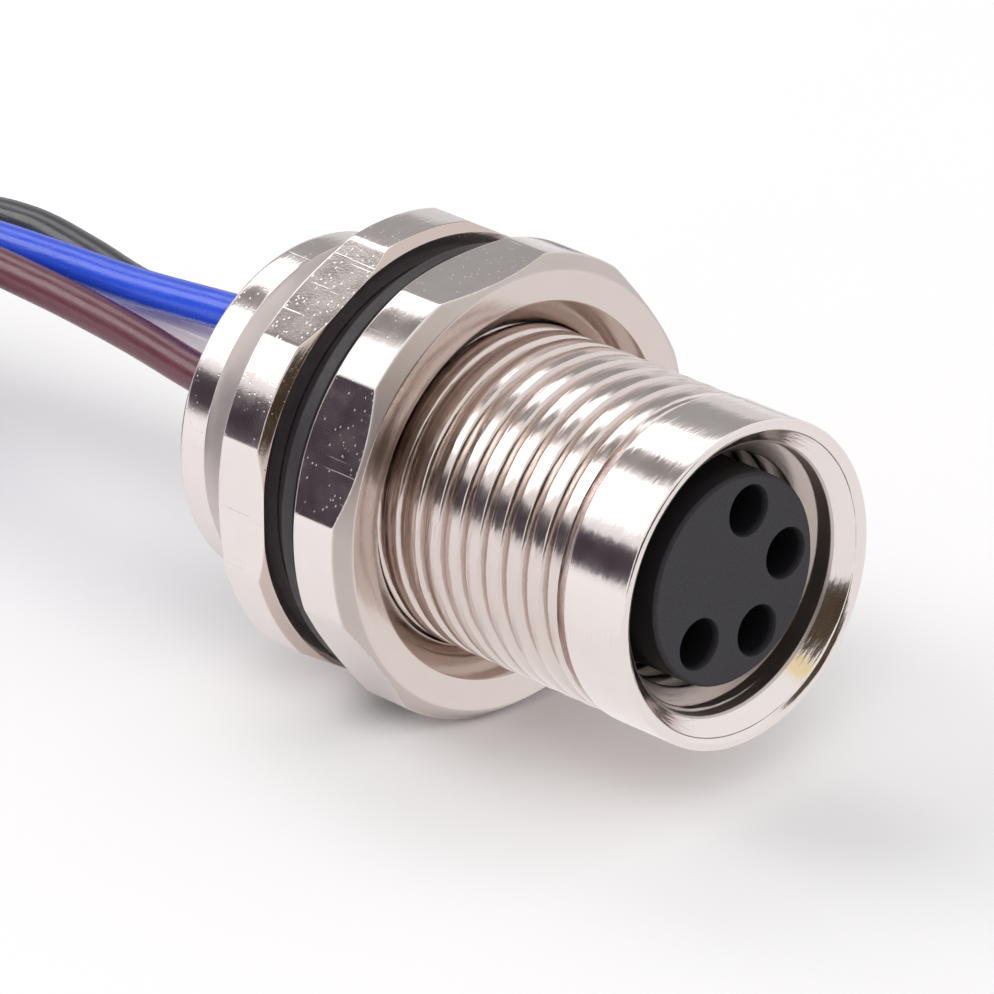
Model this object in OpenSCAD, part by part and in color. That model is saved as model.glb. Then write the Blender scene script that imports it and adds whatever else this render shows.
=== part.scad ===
// Four-pole sensor receptacle for a round panel hole, with stranded leads.
// The axis lies along +X with the mating face forward, and +Z is up.
// The origin is on the axis, at the front face of the hexagonal flange, where the panel seal sits.

/* [Threaded sleeve] */
// Distance from the flange's front face to the lip
lip_reach = 13; // [12.4:0.1:15]
// Diameter of the plain nose
nose_d = 10; // [9.9:0.02:10.4]
// Length of the plain nose
nose_l = 2.4; // [1.6:0.1:3]
// Outside diameter of the panel thread
thread_d = 9.9; // [9.7:0.02:10]
// Rise of the panel thread in one turn
thread_turn = 0.85; // [0.75:0.01:1]
// Depth of the panel thread's groove
thread_depth = 0.3; // [0.2:0.01:0.4]
// Width of that groove at the thread's crest
groove_w = 0.36; // [0.2:0.01:0.5]
// Diameter of the groove where the panel thread runs out behind the nose
relief_d = 8.9; // [8.7:0.02:9.2]
// Width of that groove
relief_l = 0.55; // [0.5:0.05:0.7]
// Length of the sleeve that is screwed into the flange body
sleeve_tail = 3.2; // [2.6:0.1:3.8]
// Width of the lip round the mouth
lip_w = 0.2; // [0.16:0.01:0.5]
// Length of the bevel that leads from the mouth into the mating thread
bevel_l = 0.77; // [0.5:0.01:1.2]
// Rounding of the lip's outer edge
lip_round = 0.12; // [0.05:0.01:0.15]
// Outside diameter of the mating thread, which is the bore here
socket_d = 8; // [7.8:0.05:8.4]
// Depth of the mating socket behind the lip
socket_depth = 6.5; // [5.5:0.1:7.2]
// Thickness of the web that stops the contact insert
web_t = 1; // [0.6:0.1:1.6]
// Diameter of the sleeve's bore behind the web
rear_bore_d = 8.2; // [7.8:0.05:8.6]

/* [Flange body] */
// Distance across the flange's flats
flange_flats = 13.7; // [13.6:0.02:14]
// Diameter of the flange's turned corners
flange_d = 14.3; // [14:0.05:15]
// Thickness of the flange
flange_t = 2.05; // [1.6:0.05:2.6]
// Size of the flange's front chamfer
flange_chamfer = 0.25; // [0.1:0.05:0.5]
// Length of the flange's rear chamfer
flange_rear_chamfer = 0.3; // [0.2:0.05:0.5]
// Length of the conical shoulder behind the flange
shoulder_l = 2.1; // [1.6:0.05:2.6]
// Diameter of the shoulder where it leaves the flange
shoulder_d = 13.5; // [12.6:0.05:13.6]
// Diameter of the rear collar
collar_d = 10.9; // [10.5:0.05:11.5]
// Length of the rear collar
collar_l = 1.15; // [0.8:0.05:2]
// Diameter of the collar's bore
collar_bore_d = 9; // [8.6:0.05:9.4]
// Rounding of the collar's rear edge
collar_round = 0.2; // [0.1:0.02:0.3]

/* [Panel nut and seal] */
// Distance across the nut's flats
nut_flats = 13.75; // [13.6:0.02:14]
// Diameter of the nut's turned corners
nut_d = 14.4; // [14:0.05:15]
// Thickness of the nut
nut_t = 2.5; // [2:0.1:3]
// Size of the nut's corner chamfers
nut_chamfer = 0.45; // [0.2:0.05:0.6]
// Diameter of the nut's countersinks
nut_sink_d = 11.68; // [11:0.02:12.4]
// Angle by which the nut is turned past the flange
nut_turn = 36; // [0:1:59]
// Thickness of the panel seal
seal_t = 1.15; // [0.8:0.05:1.6]
// Outside diameter of the panel seal
seal_d = 13.6; // [12.6:0.05:13.65]

/* [Contact insert] */
// Diameter of the insert's front boss
insert_d = 6.46; // [6.3:0.02:6.8]
// Distance of the insert's face behind the lip
insert_set_back = 0.5; // [0.3:0.05:1.2]
// Size of the chamfer round the insert's face
insert_chamfer = 0.1; // [0.05:0.01:0.2]
// Length of the insert's wide rear part
insert_foot_l = 4; // [3:0.1:4.4]
// Diameter of the circle of contacts
contact_circle_d = 4.2; // [4:0.05:4.4]
// Angle from one contact to the next
contact_step = 69; // [64:1:72]
// Angle of the middle of the row of contacts, from +Y towards +Z
contact_middle = -28.6; // [-180:0.2:180]
// Diameter of each pin hole at the insert's face
hole_mouth_d = 1.6; // [1.5:0.02:1.7]
// Diameter of each pin hole behind its lead-in
hole_d = 1.46; // [1.2:0.02:1.54]
// Depth of the lead-in
hole_lead_l = 0.2; // [0.1:0.05:0.6]

/* [Contacts] */
// Outside diameter of a contact's sleeve
contact_d = 1.7; // [1.6:0.02:1.8]
// Bore for the plug's pin
contact_bore_d = 1.04; // [0.9:0.02:1.1]
// Depth of the bore for the plug's pin
contact_bore_l = 5; // [4:0.1:6]
// Distance of the contact's tip behind the insert's face
contact_set_back = 1.5; // [1:0.1:2]
// Width of the slots between the contact's spring fingers
slot_w = 0.2; // [0.15:0.01:0.3]
// Length of the slots
slot_l = 3.5; // [2.5:0.1:4.5]
// Diameter of the contact's stop ring
stop_d = 2.1; // [1.9:0.02:2.2]
// Length of the stop ring
stop_l = 0.8; // [0.5:0.05:1.2]
// Outside diameter of the solder cup
cup_d = 1.5; // [1.3:0.02:1.6]
// Length of the solder cup behind the insert
cup_l = 3; // [2.4:0.1:3.4]
// Bore of the solder cup
cup_bore_d = 0.9; // [0.8:0.02:1]
// Depth of the solder cup's bore
cup_bore_l = 2; // [1.4:0.1:2.2]

/* [Resin and leads] */
// Distance of the resin's face inside the collar's rim
resin_set_in = 0.4; // [0.2:0.05:0.8]
// Length of bare strand between the solder cup and the lead's insulation
strand_gap = 1; // [0.6:0.1:1.4]
// Outside diameter of each lead
wire_d = 1.2; // [1:0.05:1.25]
// Diameter of the tinned strand
strand_d = 0.7; // [0.5:0.02:0.75]
// Length of each lead from the resin to its tip
lead_l = 200; // [180:1:220]
// Length stripped at the tip
bare_l = 5; // [3:0.5:8]
// Width of the tie that holds the coiled leads
tie_w = 2.5; // [2:0.1:3.5]
// Thickness of the tie
tie_t = 0.4; // [0.3:0.05:0.5]

/* [Coiled leads] */
// Radius of the innermost lead's turns
coil_inner_r = 5; // [4.5:0.1:5.5]
// Distance from one lead's turns to the next lead's
coil_step = 1.3; // [1.25:0.01:1.4]
// Rise of a lead in one turn
coil_pitch = 1.25; // [1.2:0.01:1.4]

/* [Clearances] */
// Radial room between pieces that are pressed, screwed or cast together
fit_gap = 0.02; // [0.01:0.005:0.03]
// Radial room between the panel thread and what runs on it
thread_gap = 0.05; // [0.02:0.01:0.1]
// Gap between the nut and the seal
seal_gap = 0.05; // [0.02:0.01:0.2]

/* [Hidden] */
$fn = 96;
// How far a cutting shape runs past the face that it cuts
cut = 1;
// Steps of the panel thread's helix in one turn, and where it starts, out of sight inside the seal
turn_steps = 24;
thread_from = 0.3;
thread_start = 159;

// Stations along the axis
lip_x = lip_reach;
nose_x = lip_x - nose_l;
relief_x = nose_x - relief_l;
bevel_x = lip_x - bevel_l;
socket_floor_x = lip_x - socket_depth;
web_rear_x = socket_floor_x - web_t;
sleeve_rear_x = -sleeve_tail;
shoulder_x = -flange_t;
collar_x = shoulder_x - shoulder_l;
rim_x = collar_x - collar_l;
seal_front_x = seal_t;
nut_x = seal_front_x + seal_gap;
insert_face_x = lip_x - insert_set_back;
insert_rear_x = web_rear_x - insert_foot_l;
contact_tip_x = insert_face_x - contact_set_back;
cup_end_x = insert_rear_x - cup_l;
strand_front_x = cup_end_x + cup_bore_l;
strand_rear_x = cup_end_x - strand_gap;
resin_rear_x = rim_x + resin_set_in;

// Diameters that follow from a fit or a wall
mouth_d = nose_d - 2 * lip_w;
nut_bore_d = thread_d + 2 * thread_gap;
seal_bore_d = thread_d + 2 * thread_gap;
flange_bore_d = thread_d + 2 * fit_gap;
web_hole_d = insert_d + 2 * fit_gap;
insert_foot_d = rear_bore_d - 2 * fit_gap;

// The leads lie in the order brown, blue, white, black from -Y to +Y
ground_z = -flange_d / 2;
brown_route = [
    [resin_rear_x, -1.5, 0.1], [-6, -1.5, 0.1], [-9, -1.5, 0.4], [-12, -1.5, 0.8], [-16, -1.5, 1.1],
    [-20, -1.5, 1.1], [-24, -1.5, 0.2], [-27, -1.5, -1.5], [-30, -1.5, -3.6], [-33, -1.5, -5.4],
    [-36, -1.5, -6.1]
];
blue_route = [
    [resin_rear_x, -0.2, 2.3], [-6, -0.2, 2.3], [-9, -0.2, 2], [-13, -0.2, 1.6], [-17, -0.2, 1.4],
    [-21, -0.2, 1.1], [-24, -0.2, 0.3], [-27, -0.2, -1.4], [-30, -0.2, -3.6], [-33, -0.2, -5.4],
    [-36, -0.2, -6.1]
];
white_route = [
    [resin_rear_x, 0.1, 0.5], [-6, 0.1, 0.5], [-11, 0.3, 0.4], [-15, 0.6, 0.1], [-18, 0.9, 0.1],
    [-21, 1.1, 0.1], [-24, 1.1, -0.4], [-27, 1.1, -1.8], [-30, 1.1, -3.7], [-33, 1.1, -5.4],
    [-36, 1.1, -6.1]
];
black_route = [
    [resin_rear_x, 1.5, 0.6], [-6, 1.5, 0.6], [-10, 1.7, 0.3], [-15, 1.9, 0.3], [-18, 2.2, 0.5],
    [-21, 2.4, 0.6], [-24, 2.4, 0.1], [-27, 2.4, -1.7], [-30, 2.4, -3.8], [-33, 2.4, -5.5],
    [-36, 2.4, -6.1]
];
routes = [brown_route, blue_route, white_route, black_route];

// The coil: each lead winds on its own radius, one turn on top of the last
coil_centre = [-36, -6.5];
coil_base_z = ground_z + tie_t;
outer_lead = len(routes) - 1;
tube_sides = 8;

function coil_r(lead) = coil_inner_r + coil_step * lead;
function run_l(path, i) = i == 0 ? 0 : norm(path[i] - path[i - 1]) + run_l(path, i - 1);
function coil_l(route) = lead_l - bare_l - run_l(route, len(route) - 1);
function coil_turns(lead) = coil_l(routes[lead]) / (2 * PI * coil_r(lead));
function coil_end_angle(lead) = 90 + 360 * coil_turns(lead);
function coil_h(lead) = coil_pitch * coil_turns(lead);

// Turns a shape made along +Z so that it lies along +X, with its own angles counted from +Y towards +Z
module along_axis() {
    rotate([0, 90, 0]) rotate([0, 0, 90]) children();
}

// A round bar or hole between two stations
module bar(d, from, to) {
    translate([0, 0, min(from, to)]) cylinder(d = d, h = abs(to - from));
}

// A hexagonal bar that holds its flats at the given angle
module hex_bar(flats, turn, from, to) {
    rotate([0, 0, turn + 30]) translate([0, 0, from])
        cylinder(d = flats / cos(30), h = to - from, $fn = 6);
}

// A cutter for the panel thread: a V carried along a right-hand helix from one station to another
module thread_cutter(from, to) {
    over = thread_depth / 3;
    outer_r = thread_d / 2 + over;
    root_r = thread_d / 2 - thread_depth;
    half_w = groove_w / 2 * (1 + over / thread_depth);
    last = ceil((to - from) / thread_turn * turn_steps);
    points = [
        for (i = [0 : last])
            let (turn = 360 * i / turn_steps, x = from + thread_turn * i / turn_steps)
            each [
                [outer_r * cos(turn), outer_r * sin(turn), x - half_w],
                [root_r * cos(turn), root_r * sin(turn), x],
                [outer_r * cos(turn), outer_r * sin(turn), x + half_w]
            ]
    ];
    walls = [
        for (i = [0 : last - 1])
            for (k = [0 : 2])
                let (here = 3 * i, there = here + 3, next = (k + 1) % 3)
                each [[here + k, there + k, there + next], [here + k, there + next, here + next]]
    ];
    near_end = [0, 1, 2];
    far_end = [3 * last + 2, 3 * last + 1, 3 * last];
    polyhedron(points = points, faces = concat([near_end], walls, [far_end]));
}

module threaded_sleeve() {
    color("gainsboro") along_axis() difference() {
        rotate_extrude() polygon([
            [0, sleeve_rear_x], [thread_d / 2, sleeve_rear_x], [thread_d / 2, relief_x],
            [relief_d / 2, relief_x], [relief_d / 2, nose_x], [nose_d / 2, nose_x],
            [nose_d / 2, lip_x - lip_round], [nose_d / 2 - lip_round, lip_x], [0, lip_x]
        ]);
        rotate_extrude() polygon([
            [0, socket_floor_x], [socket_d / 2, socket_floor_x], [socket_d / 2, bevel_x],
            [mouth_d / 2, lip_x], [mouth_d / 2, lip_x + cut], [0, lip_x + cut]
        ]);
        bar(web_hole_d, web_rear_x - cut, socket_floor_x + cut);
        bar(rear_bore_d, sleeve_rear_x - cut, web_rear_x);
        rotate([0, 0, thread_start]) thread_cutter(thread_from, relief_x + thread_turn / 4);
    }
}

module flange_body() {
    land_r = flange_d / 2;
    color("gainsboro") along_axis() difference() {
        union() {
            intersection() {
                rotate_extrude() polygon([
                    [0, shoulder_x], [shoulder_d / 2, shoulder_x], [land_r, shoulder_x + flange_rear_chamfer],
                    [land_r, -flange_chamfer], [land_r - flange_chamfer, 0], [0, 0]
                ]);
                hex_bar(flange_flats, 0, shoulder_x - cut, cut);
            }
            rotate_extrude() polygon([
                [0, rim_x], [collar_d / 2 - collar_round, rim_x], [collar_d / 2, rim_x + collar_round],
                [collar_d / 2, collar_x], [shoulder_d / 2, shoulder_x], [0, shoulder_x]
            ]);
        }
        bar(flange_bore_d, sleeve_rear_x, cut);
        bar(collar_bore_d, rim_x - cut, sleeve_rear_x + cut);
    }
}

module panel_nut() {
    nut_front_x = nut_x + nut_t;
    land_r = nut_d / 2;
    sink_l = (nut_sink_d - nut_bore_d) / 2;
    color("gainsboro") along_axis() difference() {
        intersection() {
            rotate_extrude() polygon([
                [0, nut_x], [land_r - nut_chamfer, nut_x], [land_r, nut_x + nut_chamfer],
                [land_r, nut_front_x - nut_chamfer], [land_r - nut_chamfer, nut_front_x], [0, nut_front_x]
            ]);
            hex_bar(nut_flats, nut_turn, nut_x - cut, nut_front_x + cut);
        }
        rotate_extrude() polygon([
            [0, nut_x - cut], [nut_sink_d / 2, nut_x - cut], [nut_sink_d / 2, nut_x],
            [nut_bore_d / 2, nut_x + sink_l], [nut_bore_d / 2, nut_front_x - sink_l],
            [nut_sink_d / 2, nut_front_x], [nut_sink_d / 2, nut_front_x + cut], [0, nut_front_x + cut]
        ]);
    }
}

module panel_seal() {
    color("dimgray") along_axis() difference() {
        bar(seal_d, 0, seal_front_x);
        bar(seal_bore_d, -cut, seal_front_x + cut);
    }
}

// Places a contact, its hole or its strand on the contact circle
module at_contact(number) {
    middle_number = 2.5;
    rotate([0, 0, contact_middle + contact_step * (middle_number - number)])
        translate([contact_circle_d / 2, 0, 0]) children();
}

module contact_insert() {
    color("darkslategray") along_axis() difference() {
        rotate_extrude() polygon([
            [0, insert_rear_x], [insert_foot_d / 2, insert_rear_x], [insert_foot_d / 2, web_rear_x],
            [insert_d / 2, web_rear_x], [insert_d / 2, insert_face_x - insert_chamfer],
            [insert_d / 2 - insert_chamfer, insert_face_x], [0, insert_face_x]
        ]);
        for (number = [1 : 4]) at_contact(number) {
            rotate_extrude() polygon([
                [0, contact_tip_x - cut], [hole_d / 2, contact_tip_x - cut],
                [hole_d / 2, insert_face_x - hole_lead_l], [hole_mouth_d / 2, insert_face_x],
                [hole_mouth_d / 2, insert_face_x + cut], [0, insert_face_x + cut]
            ]);
            bar(contact_d + 2 * fit_gap, insert_rear_x - cut, contact_tip_x);
            bar(stop_d + 2 * fit_gap, insert_rear_x - cut, insert_rear_x + stop_l);
        }
    }
}

// A turned contact: slotted spring sleeve in front, stop ring, and solder cup with an open side behind
module contact(number) {
    window_l = cup_bore_l / 2;
    color("goldenrod") along_axis() at_contact(number) difference() {
        union() {
            bar(contact_d, insert_rear_x, contact_tip_x);
            bar(stop_d, insert_rear_x, insert_rear_x + stop_l);
            bar(cup_d, cup_end_x, insert_rear_x);
        }
        bar(contact_bore_d, contact_tip_x - contact_bore_l, contact_tip_x + cut);
        for (turn = [0, 90]) rotate([0, 0, turn])
            translate([-contact_d, -slot_w / 2, contact_tip_x - slot_l])
                cube([2 * contact_d, slot_w, slot_l + cut]);
        bar(cup_bore_d, cup_end_x - cut, strand_front_x);
        translate([0, -cup_d, cup_end_x - cut]) cube([cup_d, 2 * cup_d, window_l + cut]);
    }
}

// The stripped, tinned end of a lead, soldered into its cup
module strand(number) {
    color("lightgray") along_axis() at_contact(number) bar(strand_d, strand_rear_x, strand_front_x);
}

module rear_resin() {
    color("black") along_axis() difference() {
        union() {
            bar(rear_bore_d - 2 * fit_gap, sleeve_rear_x, insert_rear_x);
            bar(collar_bore_d - 2 * fit_gap, resin_rear_x, sleeve_rear_x);
        }
        for (number = [1 : 4]) at_contact(number) {
            bar(cup_d + 2 * fit_gap, cup_end_x - fit_gap, insert_rear_x + cut);
            bar(strand_d + 2 * fit_gap, strand_rear_x, cup_end_x);
        }
    }
}

// A round tube swept along a route, with flat ends
module tube(points, d) {
    count = len(points);
    rings = [
        for (i = [0 : count - 1])
            let (
                ahead = points[min(i + 1, count - 1)] - points[max(i - 1, 0)],
                along = (i == 0 || i == count - 1) ? [-1, 0, 0] : ahead / norm(ahead),
                side = cross(along, [0, 0, 1]) / norm(cross(along, [0, 0, 1])),
                over = cross(side, along)
            )
            for (k = [0 : tube_sides - 1])
                points[i] + d / 2 * (side * cos(360 * k / tube_sides) + over * sin(360 * k / tube_sides))
    ];
    walls = [
        for (i = [0 : count - 2])
            for (k = [0 : tube_sides - 1])
                let (here = i * tube_sides, there = here + tube_sides, next = (k + 1) % tube_sides)
                [here + k, there + k, there + next, here + next]
    ];
    near_end = [for (k = [0 : tube_sides - 1]) k];
    far_end = [for (k = [tube_sides - 1 : -1 : 0]) (count - 1) * tube_sides + k];
    polyhedron(points = rings, faces = concat([near_end], walls, [far_end]));
}

module wire_brown() {
    color("rosybrown") tube(brown_route, wire_d);
}

module wire_blue() {
    color("royalblue") tube(blue_route, wire_d);
}

module wire_white() {
    color("whitesmoke") tube(white_route, wire_d);
}

module wire_black() {
    color("dimgray") tube(black_route, wire_d);
}

// Places a shape on the coil's own axis
module at_coil() {
    translate([coil_centre[0], coil_centre[1], coil_base_z]) children();
}

module wire_coil() {
    half = coil_step / 2;
    top = [for (lead = [outer_lead : -1 : 0]) each [
        [coil_r(lead) + half, coil_h(lead)],
        [coil_r(lead) - half, coil_h(lead)]
    ]];
    color("slategray") at_coil() rotate_extrude()
        polygon(concat([[coil_r(0) - half, 0], [coil_r(outer_lead) + half, 0]], top));
}

// A flat tie round the coil's section, on the side that faces the connector
module coil_tie() {
    coil_wall_r = coil_r(0) - coil_step / 2;
    inner_r = sqrt(pow(coil_wall_r, 2) - pow(tie_w / 2, 2)) - fit_gap;
    outer_r = coil_r(outer_lead) + coil_step / 2 + fit_gap;
    inner_top = coil_h(0) + wire_d;
    outer_top = coil_h(outer_lead) + wire_d;
    color("black") at_coil() translate([0, tie_w / 2, 0]) rotate([90, 0, 0])
        linear_extrude(tie_w) difference() {
            polygon([
                [inner_r - tie_t, -tie_t], [outer_r + tie_t, -tie_t], [outer_r + tie_t, outer_top + tie_t],
                [inner_r - tie_t, inner_top + tie_t]
            ]);
            polygon([[inner_r, 0], [outer_r, 0], [outer_r, outer_top], [inner_r, inner_top]]);
        }
}

// The tinned tip of a lead, lying along the coil's last turn
module bare_end(lead) {
    r = coil_r(lead);
    color("lightgray") at_coil() translate([0, 0, coil_h(lead) + wire_d / 2])
        rotate([0, 0, coil_end_angle(lead)])
            rotate_extrude(angle = bare_l / r * 180 / PI) translate([r, 0]) circle(d = strand_d);
}

threaded_sleeve();
flange_body();
panel_nut();
panel_seal();
contact_insert();
contact(1);  // contact_1
contact(2);  // contact_2
contact(3);  // contact_3
contact(4);  // contact_4
strand(1);  // strand_1
strand(2);  // strand_2
strand(3);  // strand_3
strand(4);  // strand_4
rear_resin();
wire_brown();
wire_blue();
wire_white();
wire_black();
wire_coil();
coil_tie();
bare_end(0);  // bare_end_brown
bare_end(1);  // bare_end_blue
bare_end(2);  // bare_end_white
bare_end(3);  // bare_end_black
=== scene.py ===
import math
import bpy
import numpy as np
from mathutils import Matrix


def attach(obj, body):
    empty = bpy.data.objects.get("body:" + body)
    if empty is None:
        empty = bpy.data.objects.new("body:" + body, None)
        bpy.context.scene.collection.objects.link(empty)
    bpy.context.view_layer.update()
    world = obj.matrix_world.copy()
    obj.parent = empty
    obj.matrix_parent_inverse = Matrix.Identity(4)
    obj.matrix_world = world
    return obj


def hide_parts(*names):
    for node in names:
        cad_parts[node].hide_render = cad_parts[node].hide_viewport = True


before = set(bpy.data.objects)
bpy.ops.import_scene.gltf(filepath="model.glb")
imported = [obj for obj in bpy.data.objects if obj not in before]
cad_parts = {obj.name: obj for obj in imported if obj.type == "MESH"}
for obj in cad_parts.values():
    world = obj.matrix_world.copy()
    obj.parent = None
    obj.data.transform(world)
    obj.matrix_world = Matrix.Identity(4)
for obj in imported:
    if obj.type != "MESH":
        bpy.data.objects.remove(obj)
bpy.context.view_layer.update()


# The camera: a long lens in front of the mating face and a little above it, at the photograph's
# angle. The object's lengths are written in millimetres and brought to metres by mm, and those of
# the studio are in metres.
mm = 0.001
camera_turn = math.radians(46.08)
camera_lift = math.radians(23.87)
camera_aim = np.array([6.60, -3.77, 1.90]) * mm
camera_distance = 230 * mm
camera_back = np.array([
    math.sin(camera_turn) * math.cos(camera_lift),
    -math.cos(camera_turn) * math.cos(camera_lift),
    math.sin(camera_lift),
])
long_lens = bpy.data.cameras.new("long_lens")
long_lens.lens = 289.74
long_lens.sensor_width = 36
long_lens.sensor_fit = "HORIZONTAL"
long_lens.clip_start = 0.02
long_lens.clip_end = 10
camera = bpy.data.objects.new("camera", long_lens)
camera.location = camera_aim + camera_distance * camera_back
camera.rotation_euler = (math.pi / 2 - camera_lift, 0, camera_turn)
bpy.context.scene.collection.objects.link(camera)
bpy.context.scene.camera = camera


# The four contacts: brass turned on an automatic lathe, slotted into spring fingers, then gold
# plated. They sit deep in the insert, so only a glint of them shows in the pin holes.
def new_finish(name):
    """A new material: returns it with its node tree and its Principled shader."""
    material = bpy.data.materials.new(name)
    material.use_nodes = True
    return material, material.node_tree, material.node_tree.nodes["Principled BSDF"]


def add_node(tree, kind, **sockets):
    """A node of that kind in the tree, with the values of its named input sockets set. In a socket's
    name, _ stands for a space."""
    made = tree.nodes.new(kind)
    for label, value in sockets.items():
        made.inputs[label.replace("_", " ")].default_value = value
    return made


def feed(tree, entry, value):
    """Gives an input its value: an output is linked to it, and a constant is set on it."""
    if isinstance(value, bpy.types.NodeSocket):
        tree.links.new(value, entry)
    else:
        entry.default_value = value


def worked(tree, operation, *terms):
    """The output of a Math node of that operation on the terms, which are outputs or constants."""
    made = tree.nodes.new("ShaderNodeMath")
    made.operation = operation
    for entry, term in zip(made.inputs, terms):
        feed(tree, entry, term)
    return made.outputs[0]


def dress(node_name, material):
    """Gives a CAD node its material."""
    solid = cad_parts[node_name]
    solid.data.materials.clear()
    solid.data.materials.append(material)


def new_group(name, inputs, outputs):
    """A shader node group with number sockets: returns it with its input and output nodes."""
    group = bpy.data.node_groups.new(name, "ShaderNodeTree")
    for label, value in inputs.items():
        made = group.interface.new_socket(label, in_out="INPUT", socket_type="NodeSocketFloat")
        made.default_value = value
    for label in outputs:
        group.interface.new_socket(label, in_out="OUTPUT", socket_type="NodeSocketFloat")
    return group, group.nodes.new("NodeGroupInput"), group.nodes.new("NodeGroupOutput")


# Fine cloudiness that most finishes here share: a noise of the given cell size in millimetres.
mottle, mottle_in, mottle_out = new_group(
    "mottle", {"Cell": 0.1, "Low": 0.0, "High": 1.0}, ["Value", "Height"])
place = mottle.nodes.new("ShaderNodeTexCoord")
clouds = add_node(mottle, "ShaderNodeTexNoise", Detail=3.0, Roughness=0.6)
spread = add_node(mottle, "ShaderNodeMapRange", From_Min=0.3, From_Max=0.7)
link = mottle.links.new
link(place.outputs["Object"], clouds.inputs["Vector"])
link(worked(mottle, "DIVIDE", 1 / mm, mottle_in.outputs["Cell"]), clouds.inputs["Scale"])
link(clouds.outputs["Fac"], spread.inputs["Value"])
link(mottle_in.outputs["Low"], spread.inputs["To Min"])
link(mottle_in.outputs["High"], spread.inputs["To Max"])
link(spread.outputs["Result"], mottle_out.inputs["Value"])
link(clouds.outputs["Fac"], mottle_out.inputs["Height"])


def add_mottle(tree, cell, low=0.0, high=1.0):
    """The mottle group placed in a material, with its cell size and the range of its value."""
    made = tree.nodes.new("ShaderNodeGroup")
    made.node_tree = mottle
    made.inputs["Cell"].default_value = cell
    made.inputs["Low"].default_value = low
    made.inputs["High"].default_value = high
    return made


def add_bump(tree, shader, height, depth):
    """A bump of that depth in millimetres from a height output into the shader's normal."""
    made = add_node(tree, "ShaderNodeBump", Strength=1.0, Distance=depth * mm)
    tree.links.new(height, made.inputs["Height"])
    tree.links.new(made.outputs["Normal"], shader.inputs["Normal"])
    return made


def blended(tree, mask, first, second):
    """The colour that goes from first to second as the mask goes from 0 to 1. Each of the two is a
    colour or an output."""
    made = tree.nodes.new("ShaderNodeMix")
    made.data_type = "RGBA"
    tree.links.new(mask, made.inputs["Factor"])
    for label, colour in (("A", first), ("B", second)):
        feed(tree, made.inputs[label], (*colour, 1) if isinstance(colour, tuple) else colour)
    return made.outputs["Result"]


def add_shades(tree, shader, mask, first, second):
    """Two shades, each a colour or an output, blended by a mask into the shader's base colour."""
    tree.links.new(blended(tree, mask, first, second), shader.inputs["Base Color"])


contact_gold, tree, shader = new_finish("contact_gold")
shader.inputs["Metallic"].default_value = 1.0
gold_tone = add_mottle(tree, cell=0.25, low=0.18, high=0.32)
add_shades(tree, shader, gold_tone.outputs["Height"], (0.86, 0.60, 0.25), (0.93, 0.70, 0.34))
tree.links.new(gold_tone.outputs["Value"], shader.inputs["Roughness"])
add_bump(tree, shader, gold_tone.outputs["Height"], depth=0.004)
for number in (1, 2, 3, 4):
    dress(f"contact_{number}", contact_gold)


# The soldered ends of the leads in the contacts' cups: stranded copper dipped in tin. The resin
# covers them, and the stripped tips at the far ends of the leads have the same finish.
tinned, tree, shader = new_finish("tinned_copper")
shader.inputs["Metallic"].default_value = 1.0
tin_tone = add_mottle(tree, cell=0.12, low=0.28, high=0.46)
add_shades(tree, shader, tin_tone.outputs["Height"], (0.60, 0.58, 0.55), (0.76, 0.74, 0.72))
tree.links.new(tin_tone.outputs["Value"], shader.inputs["Roughness"])
add_bump(tree, shader, tin_tone.outputs["Height"], depth=0.006)
for number in (1, 2, 3, 4):
    dress(f"strand_{number}", tinned)


# The contact insert: moulded from black glass-filled nylon, with a boss that stands in the socket
# and four pin holes. Its face keeps the fine matte grain of the mould. Its sides and holes, behind
# the face, are painted near black as painted shade.
sides_end = 12.36
face_starts = 12.48
insert_plastic, tree, shader = new_finish("insert_plastic")
shader.inputs["Specular IOR Level"].default_value = 0.3
grain = add_mottle(tree, cell=0.045, low=0.46, high=0.62)
specks = add_mottle(tree, cell=0.05)
face_shade = blended(tree, specks.outputs["Value"], (0.016, 0.015, 0.019), (0.042, 0.039, 0.048))
place = tree.nodes.new("ShaderNodeTexCoord")
split = tree.nodes.new("ShaderNodeSeparateXYZ")
on_face = add_node(tree, "ShaderNodeMapRange", From_Min=sides_end * mm, From_Max=face_starts * mm)
tree.links.new(place.outputs["Object"], split.inputs[0])
tree.links.new(split.outputs["X"], on_face.inputs["Value"])
# Painted shade: behind the face, on the boss's sides and in the pin holes, the colour goes near black.
add_shades(tree, shader, on_face.outputs["Result"], (0.007, 0.006, 0.008), face_shade)
tree.links.new(grain.outputs["Value"], shader.inputs["Roughness"])
add_bump(tree, shader, grain.outputs["Height"], depth=0.008)
dress("contact_insert", insert_plastic)


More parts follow.
